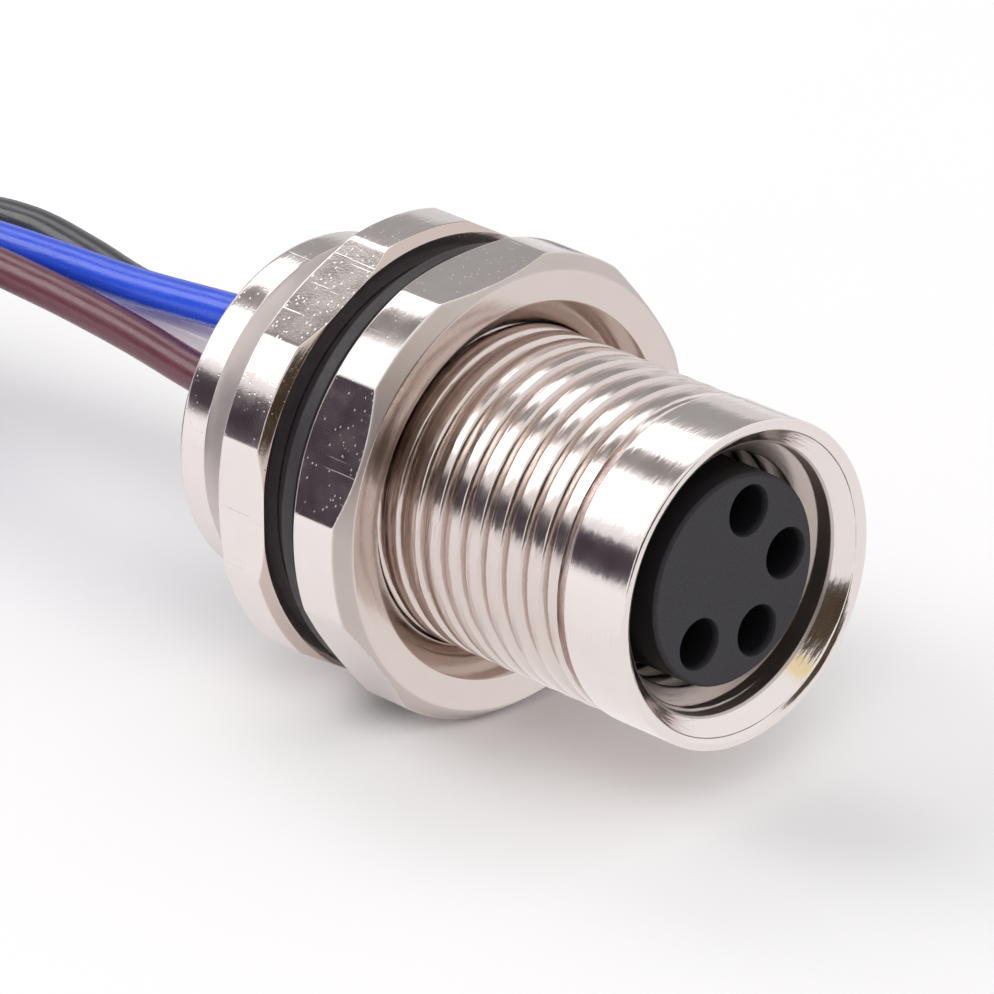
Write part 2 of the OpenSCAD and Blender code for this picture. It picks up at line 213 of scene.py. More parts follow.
# The threaded sleeve: one turned brass tube with the panel thread outside, a plain nose, and the
# mating thread in its bevelled mouth. It is screwed into the flange body, and bright nickel plated.
def eased_outline(corners, steps=6):
    """A closed outline of straight lines. Each corner is x, radius, easing and rows: a parabola that
    starts and ends at the easing's distance rounds it, though never beyond 0.45 of a line, and the line
    after it has that many rows."""
    corners = np.array(corners, float)
    corner, easing, rows = corners[:, :2], corners[:, 2], corners[:, 3].astype(int)
    before = np.roll(corner, 1, axis=0) - corner
    after = np.roll(corner, -1, axis=0) - corner
    reach_in = np.minimum(easing / np.linalg.norm(before, axis=1), 0.45)
    reach_out = np.minimum(easing / np.linalg.norm(after, axis=1), 0.45)
    start = corner + before * reach_in[:, None]
    end = corner + after * reach_out[:, None]
    following = np.roll(start, -1, axis=0)
    t = np.linspace(0, 1, steps)[:, None]
    pieces = []
    for i, count in enumerate(rows):
        pieces.append((1 - t) ** 2 * start[i] + 2 * t * (1 - t) * corner[i] + t ** 2 * end[i])
        s = np.linspace(0, 1, count + 2)[1:-1, None]
        pieces.append(end[i] + s * (following[i] - end[i]))
    return np.concatenate(pieces)


def full_turn(columns, first=-math.pi):
    """One row of angles that go once round, from the first, in equal steps."""
    return np.linspace(first, first + 2 * math.pi, columns, endpoint=False)[None, :]


def lattice(name, points, ends="joined"):
    """A mesh from a grid of points in millimetres, rows by columns. The columns close on themselves;
    the first and last row are joined to each other, or each is capped by one face. The sum of the
    faces' signed volumes says which way round they have to go."""
    rows, columns = points.shape[:2]
    index = np.arange(rows * columns).reshape(rows, columns)
    if ends == "joined":
        index = np.vstack([index, index[:1]])
    here, beside = index[:-1], np.roll(index, -1, axis=1)[:-1]
    above, across = index[1:], np.roll(index, -1, axis=1)[1:]
    quads = np.stack([here, beside, across, above], axis=-1).reshape(-1, 4)
    flat = points.reshape(-1, 3) * mm
    a, b, c, d = (flat[quads[:, k]] for k in range(4))
    volume = (np.einsum("ij,ij->i", a, np.cross(b, c)) + np.einsum("ij,ij->i", a, np.cross(c, d))).sum()
    caps = [] if ends == "joined" else [index[0][::-1], index[-1]]
    if volume < 0:
        quads = quads[:, ::-1]
        caps = [ring[::-1] for ring in caps]
    corners = np.concatenate([quads.ravel(), *caps])
    sizes = np.concatenate([np.full(len(quads), 4), [len(ring) for ring in caps]]).astype(int)
    mesh = bpy.data.meshes.new(name)
    mesh.vertices.add(len(flat))
    mesh.vertices.foreach_set("co", flat.ravel())
    mesh.loops.add(len(corners))
    mesh.loops.foreach_set("vertex_index", corners.astype(np.int32))
    mesh.polygons.add(len(sizes))
    mesh.polygons.foreach_set("loop_start", (np.cumsum(sizes) - sizes).astype(np.int32))
    mesh.polygons.foreach_set("use_smooth", sizes == 4)
    mesh.update(calc_edges=True)
    piece = bpy.data.objects.new(name, mesh)
    bpy.context.scene.collection.objects.link(piece)
    return piece


def round_axis(along, out, turn):
    """Points at x = along, y = out times the cosine of turn and z = out times its sine."""
    along, out, turn = np.broadcast_arrays(along, out, turn)
    return np.stack([along, out * np.cos(turn), out * np.sin(turn)], axis=-1)


def smooth_step(value, low, high):
    """Goes from 0 at low to 1 at high along a cubic that is level at both ends."""
    t = np.clip((value - low) / (high - low), 0, 1)
    return t * t * (3 - 2 * t)


thread_start = 0.1
thread_end = 10.28
thread_crest = 4.95
thread_depth = 0.30
thread_turn = 0.85
groove_wide = 0.36
groove_first = 0.3
groove_angle = math.radians(159)
crest_drop = 0.02
edge_easing = 0.14
edge_share = 0.28


def from_groove(x, turn):
    """Distance along the axis to the panel thread's nearest groove: a right-hand helix that starts
    0.3 mm in front of the flange, at 159 degrees."""
    turns = (x - groove_first) / thread_turn - (turn - groove_angle) / (2 * math.pi)
    return thread_turn * np.abs(turns - np.round(turns))


def panel_thread(x, turn):
    """Radius of the panel thread: a V-shaped groove, eased where it meets the crests, which are crowned
    a little."""
    away = from_groove(x, turn)
    crown = crest_drop * (1 - smooth_step(away, groove_wide / 2, thread_turn / 2))
    inside = np.clip(1 - 2 * away / groove_wide, 0, 1)
    near_edge = edge_easing * smooth_step(inside, 0, edge_share)
    eased = inside - near_edge * (1 - smooth_step(inside, edge_share, 1.0))
    return thread_crest - crown - (thread_depth - crest_drop) * eased


web_front = 6.5
socket_radius = 4.12
socket_plain_bore = 12.0
bevel_end = 12.86
bevel_radius = 4.62
ridge_crest = 11.4
ridge_angle = math.radians(-32)
ridge_height = 0.52
ridge_half_crest = 0.06
ridge_flank = 0.28
ridge_full_height = 7.2
cone_slope = 1.3


def mating_thread(x, turn):
    """Radius of the mating thread: a right-hand ridge that goes 1 mm along in a turn, with straight
    flanks and a narrow crest. A short plain bore behind the bevel and a cone behind that cut its first
    turns down, and it fades out before the web."""
    turns = (x - ridge_crest) - (turn - ridge_angle) / (2 * math.pi)
    from_crest = np.abs(turns - np.round(turns))
    ridge = ridge_height * np.clip(1 - (from_crest - ridge_half_crest) / ridge_flank, 0, 1)
    ridge = ridge * smooth_step(x, web_front, ridge_full_height)
    cone = socket_radius - cone_slope * np.maximum(socket_plain_bore - x, 0)
    bevel = bevel_radius - (bevel_end - x)
    return np.maximum(np.maximum(socket_radius - ridge, cone), bevel)


def mark(piece, name, values):
    """A vertex attribute of one number a point, from a grid of values in the order of its points. One
    column of values holds for all columns."""
    grid = np.broadcast_to(values, (len(values), len(piece.data.vertices) // len(values)))
    made = piece.data.attributes.new(name, "FLOAT", "POINT")
    made.data.foreach_set("value", grid.astype(np.float32).ravel())


def within(x, low, high):
    """1 between two stations and 0 outside them, with a slope 0.05 mm long at each."""
    return smooth_step(x, low - 0.05, low) * smooth_step(-x, -high - 0.05, -high)


sleeve_rear = -3.2
rear_bore = 4.1
relief_bottom = 4.5
nose_radius = 5.0
mouth = 13.0
web_rear = 5.5
web_bore = 3.25
sleeve_outline = eased_outline([
    (sleeve_rear, rear_bore, 0.05, 0),
    (sleeve_rear, thread_crest, 0.05, 2),
    (thread_start, thread_crest, 0.01, 300),
    (10.25, thread_crest, 0.03, 1),  # the relief groove
    (10.3, relief_bottom, 0.08, 1),
    (10.55, relief_bottom, 0.08, 1),
    (10.6, nose_radius, 0.05, 5),  # the plain nose
    (mouth, nose_radius, 0.12, 1),
    (mouth, 4.8, 0.05, 2),  # the lip and the bevel
    (12.91, 4.64, 0.02, 1),
    (bevel_end, bevel_radius, 0.02, 3),
    (12.42, 4.18, 0.02, 64),  # the threaded socket
    (10.9, socket_radius, 0.02, 50),
    (web_front, socket_radius, 0.03, 1),
    (web_front, web_bore, 0.05, 1),
    (web_rear, web_bore, 0.05, 1),
    (web_rear, rear_bore, 0.05, 1),
])
x, radius = sleeve_outline[:, :1], sleeve_outline[:, 1:]
turn = full_turn(columns=180)

# Which rows of the outline are the panel thread, the relief groove and the mating thread.
on_thread = (radius > 4.94) & (x > thread_start) & (x < thread_end)
in_relief = (radius < 4.94) & (x > 10.2) & (x < 10.7) & (radius > 4.3)
in_socket = (radius > 4.1) & (radius < 4.19) & (x > 6.55)

# The relief groove behind the nose is shallow round the place where the thread runs out into it. The
# angle counts backwards from 147.6 degrees.
backwards = (math.radians(147.6) - turn + math.pi) % (2 * math.pi) - math.pi
relief_depth = 1 - 0.65 * smooth_step(backwards, 0.35, 0.75) * smooth_step(-backwards, -2.2, -1.7)
sleeve_radius = np.where(on_thread, np.minimum(radius, panel_thread(x, turn)), radius)
sleeve_radius = np.where(in_relief, thread_crest - (thread_crest - radius) * relief_depth, sleeve_radius)
sleeve_radius = np.where(in_socket, mating_thread(x, turn), sleeve_radius)
sleeve = lattice("sleeve", round_axis(x, sleeve_radius, turn))

# The socket is duller than the thread outside. Brown painted shade darkens the thread's grooves most, the
# rest of the thread a little, and the socket deep inside.
in_groove = on_thread * smooth_step(thread_crest - sleeve_radius, 0.07, 0.26)
deep_in_socket = in_socket * smooth_step(-x, -12.2, -11.6)
mark(sleeve, "dull", 0.09 * on_thread + 0.9 * in_socket)
mark(sleeve, "painted_shade_and_reflection", np.maximum(0.60 * in_groove, 0.22 * on_thread) + 0.25 * deep_in_socket)

# Turning marks: rings that the tool left round the axis, as a noise that is fine along the axis and
# along the radius and long round the axis. Plate grain: plating on a drawn bar, with a fine sparkle,
# scattered dents and a few scratches along the axis.
turning_marks, marks_in, marks_out = new_group(
    "turning_marks", {"Lines per mm": 9.0, "Length": 8.0}, ["Height"])
place = turning_marks.nodes.new("ShaderNodeTexCoord")
split = turning_marks.nodes.new("ShaderNodeSeparateXYZ")
off_axis = add_node(turning_marks, "ShaderNodeCombineXYZ", X=0.0)
out = turning_marks.nodes.new("ShaderNodeVectorMath")
out.operation = "LENGTH"
facing = turning_marks.nodes.new("ShaderNodeVectorMath")
facing.operation = "NORMALIZE"
stretched = turning_marks.nodes.new("ShaderNodeVectorMath")
stretched.operation = "SCALE"
split_round = turning_marks.nodes.new("ShaderNodeSeparateXYZ")
gathered = turning_marks.nodes.new("ShaderNodeCombineXYZ")
rings = add_node(turning_marks, "ShaderNodeTexNoise", Scale=1.0, Detail=2.0, Roughness=0.55)
rings.noise_dimensions = "4D"
lines_per_metre = worked(turning_marks, "MULTIPLY", marks_in.outputs["Lines per mm"], 1 / mm)
link = turning_marks.links.new
link(place.outputs["Object"], split.inputs[0])
link(split.outputs["Y"], off_axis.inputs["Y"])
link(split.outputs["Z"], off_axis.inputs["Z"])
link(off_axis.outputs[0], out.inputs[0])
link(off_axis.outputs[0], facing.inputs[0])
link(facing.outputs["Vector"], stretched.inputs[0])
link(marks_in.outputs["Length"], stretched.inputs["Scale"])
link(stretched.outputs["Vector"], split_round.inputs[0])
link(worked(turning_marks, "MULTIPLY", split.outputs["X"], lines_per_metre), gathered.inputs["X"])
link(split_round.outputs["Y"], gathered.inputs["Y"])
link(split_round.outputs["Z"], gathered.inputs["Z"])
link(gathered.outputs[0], rings.inputs["Vector"])
link(worked(turning_marks, "MULTIPLY", out.outputs["Value"], lines_per_metre), rings.inputs["W"])
link(rings.outputs["Fac"], marks_out.inputs["Height"])

plate_grain, grain_in, grain_out = new_group(
    "plate_grain", {"Sparkle": 0.22, "Dents": 0.8, "Scratches": 0.5}, ["Height"])
place = plate_grain.nodes.new("ShaderNodeTexCoord")
sparkle = add_node(plate_grain, "ShaderNodeTexNoise", Scale=16000.0, Detail=2.0, Roughness=0.5)
spots = add_node(plate_grain, "ShaderNodeTexVoronoi", Scale=6200.0)
spot_share = plate_grain.nodes.new("ShaderNodeSeparateColor")
bowl = add_node(plate_grain, "ShaderNodeMapRange", From_Min=0.03, From_Max=0.22, To_Min=-1.0, To_Max=0.0)
bowl.interpolation_type = "SMOOTHSTEP"
drawn_out = plate_grain.nodes.new("ShaderNodeVectorMath")
drawn_out.operation = "MULTIPLY"
drawn_out.inputs[1].default_value = (350, 9000, 9000)
lines = add_node(plate_grain, "ShaderNodeTexNoise", Scale=1.0, Detail=1.0)
scratch = add_node(plate_grain, "ShaderNodeMapRange", From_Min=0.69, From_Max=0.76)
link = plate_grain.links.new
link(place.outputs["Object"], sparkle.inputs["Vector"])
link(place.outputs["Object"], spots.inputs["Vector"])
link(place.outputs["Object"], drawn_out.inputs[0])
link(spots.outputs["Color"], spot_share.inputs[0])
link(spots.outputs["Distance"], bowl.inputs["Value"])
link(drawn_out.outputs["Vector"], lines.inputs["Vector"])
link(lines.outputs["Fac"], scratch.inputs["Value"])
dented = worked(plate_grain, "GREATER_THAN", spot_share.outputs[0], 0.35)
dents = worked(plate_grain, "MULTIPLY", bowl.outputs["Result"], dented)
amount = grain_in.outputs
raised = worked(plate_grain, "MULTIPLY", sparkle.outputs["Fac"], amount["Sparkle"])
raised = worked(plate_grain, "MULTIPLY_ADD", dents, amount["Dents"], raised)
raised = worked(plate_grain, "MULTIPLY_ADD", scratch.outputs["Result"], amount["Scratches"], raised)
link(raised, grain_out.inputs["Height"])


def nickel_finish(name, line_depth, grain_depth=0.0):
    """Bright nickel on brass: warm white metal with turning marks of the given depth. Where the mesh's
    own attributes say so, milled flats have plate grain instead, dull parts are rougher and greyer, and
    brown painted shade and reflection darken others."""
    material, tree, shader = new_finish(name)
    shader.inputs["Metallic"].default_value = 1.0
    attribute = {}
    for label in ("milled", "dull", "painted_shade_and_reflection"):
        reader = tree.nodes.new("ShaderNodeAttribute")
        reader.attribute_name = label
        attribute[label] = reader.outputs["Fac"]

    tone = add_mottle(tree, cell=0.9, low=0.12, high=0.19)
    bright = blended(tree, tone.outputs["Height"], (0.790, 0.722, 0.702), (0.845, 0.782, 0.762))
    greyed = blended(tree, attribute["dull"], bright, (0.58, 0.51, 0.48))
    # Painted shade and reflection: the third attribute read above browns the metal towards this colour.
    add_shades(tree, shader, attribute["painted_shade_and_reflection"], greyed, (0.40, 0.27, 0.20))
    rougher = worked(tree, "MULTIPLY_ADD", attribute["dull"], 0.28, tone.outputs["Value"])
    tree.links.new(rougher, shader.inputs["Roughness"])

    marks = tree.nodes.new("ShaderNodeGroup")
    marks.node_tree = turning_marks
    ringed = add_node(tree, "ShaderNodeBump", Distance=line_depth * mm)
    tree.links.new(worked(tree, "SUBTRACT", 1.0, attribute["milled"]), ringed.inputs["Strength"])
    tree.links.new(marks.outputs["Height"], ringed.inputs["Height"])
    grain = tree.nodes.new("ShaderNodeGroup")
    grain.node_tree = plate_grain
    grained = add_bump(tree, shader, grain.outputs["Height"], grain_depth)
    tree.links.new(attribute["milled"], grained.inputs["Strength"])
    tree.links.new(ringed.outputs["Normal"], grained.inputs["Normal"])
    return material


sleeve.data.materials.append(nickel_finish("sleeve_nickel", line_depth=0.009))
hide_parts("threaded_sleeve")
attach(sleeve, "receptacle")


# The flange body: turned from hexagonal brass bar, with rounded corners on the flange, a conical
# shoulder and a rear collar. The bar's own flats are left on the flange, and all is nickel plated.
def hexagon(turn, flats, first_flat):
    """Radius of a hexagon at an angle: half the distance over its flats, divided by the cosine of the
    angle from the middle of the nearest flat."""
    from_flat = (turn - first_flat + math.radians(30)) % math.radians(60) - math.radians(30)
    return flats / 2 / np.cos(from_flat)


def softer_of(first, second, blend):
    """The smaller of two radii, with the edge where they cross rounded over the given blend."""
    share = np.clip(0.5 + 0.5 * (second - first) / blend, 0, 1)
    return second + (first - second) * share - blend * share * (1 - share)


def milled_bar(corners, flats, first_flat):
    """A turned outline round the axis, cut down to a hexagon's flats: x, radius and angle of its grid,
    and a grid that is 1 on the flats and 0 on turned faces."""
    outline = eased_outline(corners)
    x, turned = outline[:, :1], outline[:, 1:]
    turn = full_turn(columns=800)
    flat = hexagon(turn, flats, first_flat)
    return x, softer_of(turned, flat, blend=0.035), turn, smooth_step(turned - flat, -0.01, 0.02)


flange_flats = 13.7
flange_rim = 7.15
flange_bore = 4.97
collar_rear = -5.3
collar_radius = 5.45
collar_bore = 4.5
x, radius, turn, milled = milled_bar([
    (0.0, flange_bore, 0.04, 2),
    (0.0, 6.9, 0.04, 5),
    (-0.25, flange_rim, 0.05, 5),
    (-1.75, flange_rim, 0.05, 5),
    (-2.05, 6.75, 0.05, 4),  # the conical shoulder
    (-4.15, collar_radius, 0.06, 3),  # the rear collar
    (collar_rear, collar_radius, 0.2, 3),
    (collar_rear, collar_bore, 0.06, 1),
    (sleeve_rear, collar_bore, 0.03, 1),
    (sleeve_rear, flange_bore, 0.03, 1),
], flange_flats, first_flat=0.0)
flange = lattice("flange", round_axis(x, radius, turn))

# The shoulder is dull, the turned faces keep some of the plate's grain, and the front edge has a brown
# painted reflection.
on_shoulder = within(x, -4.1, -2.1)
on_front_edge = within(x, -0.25, -0.02) * smooth_step(radius, 6.70, 6.85) * (1 - milled)
mark(flange, "milled", np.maximum(milled, 0.60 - 0.45 * on_shoulder))
mark(flange, "dull", 0.9 * on_shoulder)
mark(flange, "painted_shade_and_reflection", 0.5 * on_front_edge)
flange.data.materials.append(nickel_finish("flange_nickel", line_depth=0.016, grain_depth=0.008))
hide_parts("flange_body")
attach(flange, "receptacle")


# The rear resin: poured in behind the insert and cured, so it stands up a little against the collar's
# wall and round each lead, and keeps a slightly wavy skin.
lead_exits = np.array([(-1.5, 0.1), (-0.2, 2.3), (0.1, 0.5), (1.5, 0.6)])
lead_radius = 0.6
resin_front = 1.5
resin_face = -4.9
resin_in_sleeve = 4.08
resin_in_collar = 4.48
resin_middle = 0.02
face_rings = 56
wall_rise = 0.26
wall_reach = 0.20
skirt_rise = 0.30
skirt_reach = 0.17
wave_height = 0.02


def resin_rise(y, z):
    """How far the resin's rear face stands up: an exponential fall from the collar's wall and from the
    skin of each lead, and a slow wave."""
    wall = wall_rise * np.exp(-(resin_in_collar - np.hypot(y, z)) / wall_reach)
    gaps = np.hypot(y[..., None] - lead_exits[:, 0], z[..., None] - lead_exits[:, 1]) - lead_radius
    skirts = skirt_rise * np.exp(-np.maximum(gaps, 0) / skirt_reach).max(axis=-1)
    return np.maximum(wall, skirts) + wave_height * np.sin(1.7 * y + 0.6) * np.cos(1.3 * z)


turn = full_turn(columns=224)
face_radius = np.linspace(resin_in_collar, resin_middle, face_rings)
resin_outline = np.vstack([
    (resin_front, resin_middle),
    (resin_front, resin_in_sleeve),
    (sleeve_rear, resin_in_sleeve),
    (sleeve_rear, resin_in_collar),
    np.stack([np.full(face_rings, resin_face), face_radius], axis=1),
])
x, radius = resin_outline[:, :1], resin_outline[:, 1:]
rise = np.where(x == resin_face, resin_rise(radius * np.cos(turn), radius * np.sin(turn)), 0)
resin = lattice("resin", round_axis(x - rise, radius, turn), ends="capped")
cast_resin, tree, shader = new_finish("cast_resin")
skin = add_mottle(tree, cell=0.5, low=0.16, high=0.34)
dust = add_mottle(tree, cell=0.06)
add_shades(tree, shader, dust.outputs["Value"], (0.014, 0.014, 0.016), (0.026, 0.026, 0.029))
tree.links.new(skin.outputs["Value"], shader.inputs["Roughness"])
add_bump(tree, shader, skin.outputs["Height"], depth=0.02)
resin.data.materials.append(cast_resin)
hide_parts("rear_resin")
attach(resin, "receptacle")


# The four leads: stranded copper in extruded vinyl. Each comes straight out of the resin, sags behind
# the connector, and is wound on its own radius into a coil that lies on the table.
lead_length = 200
stripped_length = 5
coil_centre = (-36, -6.5)
coil_rise = 1.25
steps_per_turn = 40
skin_stretch = 0.25

# Each lead's radius in the coil, and the points of its run from the resin to the coil.
lead_routes = {
    "brown": (5.0, [(-4.9, -1.5, 0.1), (-6, -1.5, 0.1), (-9, -1.5, 0.4), (-12, -1.5, 0.8),
                    (-16, -1.5, 1.1), (-20, -1.5, 1.1), (-24, -1.5, 0.2), (-27, -1.5, -1.5),
                    (-30, -1.5, -3.6), (-33, -1.5, -5.4), (-36, -1.5, -6.1)]),
    "blue": (6.3, [(-4.9, -0.2, 2.3), (-6, -0.2, 2.3), (-9, -0.2, 2), (-13, -0.2, 1.6),
                   (-17, -0.2, 1.4), (-21, -0.2, 1.1), (-24, -0.2, 0.3), (-27, -0.2, -1.4),
                   (-30, -0.2, -3.6), (-33, -0.2, -5.4), (-36, -0.2, -6.1)]),
    "white": (7.6, [(-4.9, 0.1, 0.5), (-6, 0.1, 0.5), (-11, 0.3, 0.4), (-15, 0.6, 0.1),
                    (-18, 0.9, 0.1), (-21, 1.1, 0.1), (-24, 1.1, -0.4), (-27, 1.1, -1.8),
                    (-30, 1.1, -3.7), (-33, 1.1, -5.4), (-36, 1.1, -6.1)]),
    "black": (8.9, [(-4.9, 1.5, 0.6), (-6, 1.5, 0.6), (-10, 1.7, 0.3), (-15, 1.9, 0.3),
                    (-18, 2.2, 0.5), (-21, 2.4, 0.6), (-24, 2.4, 0.1), (-27, 2.4, -1.7),
                    (-30, 2.4, -3.8), (-33, 2.4, -5.5), (-36, 2.4, -6.1)]),
}
lead_shades = {
    "brown": ((0.112, 0.030, 0.046), (0.158, 0.052, 0.069)),
    "blue": ((0.014, 0.066, 0.640), (0.024, 0.094, 0.740)),
    "white": ((0.85, 0.78, 0.81), (0.90, 0.83, 0.86)),
    "black": ((0.030, 0.030, 0.034), (0.062, 0.062, 0.068)),
}


def through_points(points, steps):
    """A smooth line through the points: on each span a cubic whose slope at a point is half the step
    from the point before it to the point after it. It ends level, along the coil."""
    chosen = np.array(points, float)
    padded = np.vstack([2 * chosen[0] - chosen[1], chosen, chosen[-1] + (-3, 0, 0)])
    a, b, c, d = (padded[k:k + len(chosen) - 1, None] for k in range(4))
    t = np.linspace(0, 1, steps, endpoint=False)[None, :, None]
    line = 2 * b + (c - a) * t + (2 * a - 5 * b + 4 * c - d) * t ** 2
    line = 0.5 * (line + (3 * b - a - 3 * c + d) * t ** 3)
    return np.vstack([line.reshape(-1, 3), chosen[-1:]])


def around_coil(radius, angle, height):
    """Points on a circle of that radius round the coil's upright axis."""
    return np.stack([coil_centre[0] + radius * np.cos(angle), coil_centre[1] + radius * np.sin(angle),
                     np.broadcast_to(height, np.shape(angle))], axis=-1)


def carried(path, radius, around):
    """A section carried along a path: at each angle of around, its point lies the radius times the
    cosine to the level side of the path and the radius times the sine above it."""
    ahead = np.gradient(path, axis=0)
    ahead /= np.linalg.norm(ahead, axis=1, keepdims=True)
    level = np.cross(ahead, (0, 0, 1))
    level /= np.linalg.norm(level, axis=1, keepdims=True)
    upward = np.cross(level, ahead)
    side, over = radius * np.cos(around), radius * np.sin(around)
    return path[:, None] + side[..., None] * level[:, None] + over[..., None] * upward[:, None]


around = full_turn(columns=28, first=0)
laid_leads = {}
for colour, (wound_radius, route) in lead_routes.items():
    run = through_points(route, steps=6)
    run_length = np.linalg.norm(np.diff(np.array(route), axis=0), axis=1).sum()
    turns = (lead_length - stripped_length - run_length) / (2 * math.pi * wound_radius)
    wound = np.linspace(0, turns, int(turns * steps_per_turn))[1:]
    wound_angle = math.pi / 2 + 2 * math.pi * wound
    path = np.vstack([run, around_coil(wound_radius, wound_angle, route[-1][2] + coil_rise * wound)])
    section = np.full((len(path), 1), lead_radius)
    lead = lattice(f"lead_{colour}", carried(path, section, around), ends="capped")
    walked = np.concatenate([[0], np.cumsum(np.linalg.norm(np.diff(path, axis=0), axis=1))])
    stretched = skin_stretch * walked[:, None]
    lay = np.stack(np.broadcast_arrays(np.cos(around), np.sin(around), stretched), axis=-1)
    drawn = lead.data.attributes.new("lay", "FLOAT_VECTOR", "POINT")
    drawn.data.foreach_set("vector", lay.astype(np.float32).ravel())

    vinyl, tree, shader = new_finish(f"{colour}_vinyl")
    along_lead = tree.nodes.new("ShaderNodeAttribute")
    along_lead.attribute_name = "lay"
    die_lines = add_node(tree, "ShaderNodeTexNoise", Scale=3.2, Detail=3.0)
    skin = add_mottle(tree, cell=0.35, low=0.20, high=0.30)
    tree.links.new(along_lead.outputs["Vector"], die_lines.inputs["Vector"])
    add_shades(tree, shader, die_lines.outputs["Fac"], *lead_shades[colour])
    tree.links.new(skin.outputs["Value"], shader.inputs["Roughness"])
    add_bump(tree, shader, die_lines.outputs["Fac"], depth=0.012)
    if colour == "white":
        shader.inputs["Subsurface Weight"].default_value = 0.7
        shader.inputs["Subsurface Radius"].default_value = (1.0, 0.9, 0.9)
        shader.inputs["Subsurface Scale"].default_value = lead_radius * mm
    lead.data.materials.append(vinyl)
    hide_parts(f"wire_{colour}", *(["wire_coil"] if colour == "black" else []))
    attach(lead, "receptacle")
    laid_leads[colour] = (lead, path * mm, wound_radius, wound_angle[-1], path[-1][2])


# The stripped tips: the strands of each lead, twisted together and tinned, cut square. They lie along
# the last turn of the coil.
tip_core = 0.305
strand_height = 0.045
strand_count = 12
strand_twist = 0.9
tip_hidden = 0.4
around = full_turn(columns=72, first=0)
for colour, (lead, path, wound_radius, last_angle, height) in laid_leads.items():
    walked = np.linspace(-tip_hidden, stripped_length, 60)
    tip_path = around_coil(wound_radius, last_angle + walked / wound_radius, height)
    lobes = 0.5 + 0.5 * np.cos(strand_count * (around + strand_twist * walked[:, None]))
    cut_edge = 1 - 0.12 * smooth_step(walked, stripped_length - 0.3, stripped_length)
    strands = (tip_core + strand_height * np.sqrt(lobes)) * cut_edge[:, None]
    tip = lattice(f"tip_{colour}", carried(tip_path, strands, around), ends="capped")
    tip.data.materials.append(tinned)
    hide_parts(f"bare_end_{colour}")
    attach(tip, "receptacle")


# The tie: a flat nylon strap pulled round the coil on the side towards the connector, so that the
# leads stay together. Its section is a rectangle with rounded edges.
strap_half_thick = 0.2
strap_half_wide = 1.25
strap_easing = 0.55
squareness = 0.3
coil_foot = -6.75
strap = eased_outline([
    (3.95, -0.2, strap_easing, 0),
    (9.77, -0.2, strap_easing, 0),
    (9.77, 4.95, strap_easing, 0),
    (3.95, 7.80, strap_easing, 0),
], steps=9)
ahead = np.roll(strap, -1, axis=0) - np.roll(strap, 1, axis=0)
ahead /= np.linalg.norm(ahead, axis=1, keepdims=True)
outward = np.stack([ahead[:, 1], -ahead[:, 0]], axis=-1)
around = full_turn(columns=32, first=0)
thick = strap_half_thick * np.sign(np.sin(around)) * np.abs(np.sin(around)) ** squareness
wide = strap_half_wide * np.sign(np.cos(around)) * np.abs(np.cos(around)) ** squareness
in_plane = strap[:, None] + outward[:, None] * thick[..., None]
tie_points = np.stack([
    coil_centre[0] + in_plane[..., 0],
    np.broadcast_to(coil_centre[1] + wide, in_plane.shape[:2]),
    coil_foot + in_plane[..., 1],
], axis=-1)
tie = lattice("tie", tie_points)
tie_nylon, tree, shader = new_finish("tie_nylon")
skin = add_mottle(tree, cell=0.12, low=0.38, high=0.55)
add_shades(tree, shader, skin.outputs["Height"], (0.020, 0.020, 0.022), (0.036, 0.036, 0.039))
tree.links.new(skin.outputs["Value"], shader.inputs["Roughness"])
add_bump(tree, shader, skin.outputs["Height"], depth=0.012)
tie.data.materials.append(tie_nylon)
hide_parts("coil_tie")
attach(tie, "receptacle")


# The panel seal: a ring moulded from black rubber, with a lip that swells towards the nut and a dull,
# slightly dusty skin.
seal_bore = 5.0
seal_front = 1.15
seal_outline = eased_outline([
    (0.0, seal_bore, 0.05, 4),
    (0.0, 6.3, 0.08, 4),
    (0.45, 6.35, 0.12, 4),
    (0.62, 6.76, 0.14, 4),  # the lip
    (seal_front, 6.78, 0.05, 4),
    (seal_front, seal_bore, 0.05, 2),
])
x, radius = seal_outline[:, :1], seal_outline[:, 1:]
seal = lattice("seal", round_axis(x, radius, full_turn(columns=256)))
seal_rubber, tree, shader = new_finish("seal_rubber")
skin = add_mottle(tree, cell=0.05, low=0.45, high=0.62)
dust = add_mottle(tree, cell=0.4)
add_shades(tree, shader, dust.outputs["Value"], (0.014, 0.010, 0.014), (0.026, 0.020, 0.026))
tree.links.new(skin.outputs["Value"], shader.inputs["Roughness"])
add_bump(tree, shader, skin.outputs["Height"], depth=0.008)
seal.data.materials.append(seal_rubber)
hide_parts("panel_seal")
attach(seal, "receptacle")


# The panel nut: cut from the same hexagonal brass bar, chamfered on both sides, countersunk and
# threaded. It screws along the panel thread, and stands turned against the flange.
nut_flats = 13.75
nut_turned = math.radians(36)
nut_rear = 1.2
nut_front = 3.7
nut_rim = 7.2
nut_bore = 5.0
chamfer_foot = 6.75
countersink = 5.84
nut_groove_depth = 0.25
x, radius, turn, milled = milled_bar([
    (nut_rear, countersink, 0.04, 2),
    (nut_rear, chamfer_foot, 0.05, 8),
    (1.65, nut_rim, 0.05, 5),
    (3.25, nut_rim, 0.05, 8),
    (nut_front, chamfer_foot, 0.05, 2),
    (nut_front, countersink, 0.04, 14),
    (2.86, nut_bore, 0.03, 12),  # the threaded bore
    (2.04, nut_bore, 0.03, 3),
], nut_flats, nut_turned)
nut_groove = nut_bore + nut_groove_depth * smooth_step(from_groove(x, turn), 0.15, 0.38)
radius = np.where((radius < 5.02) & (x < 2.8), np.maximum(radius, nut_groove), radius)
nut = lattice("nut", round_axis(x, radius, turn))
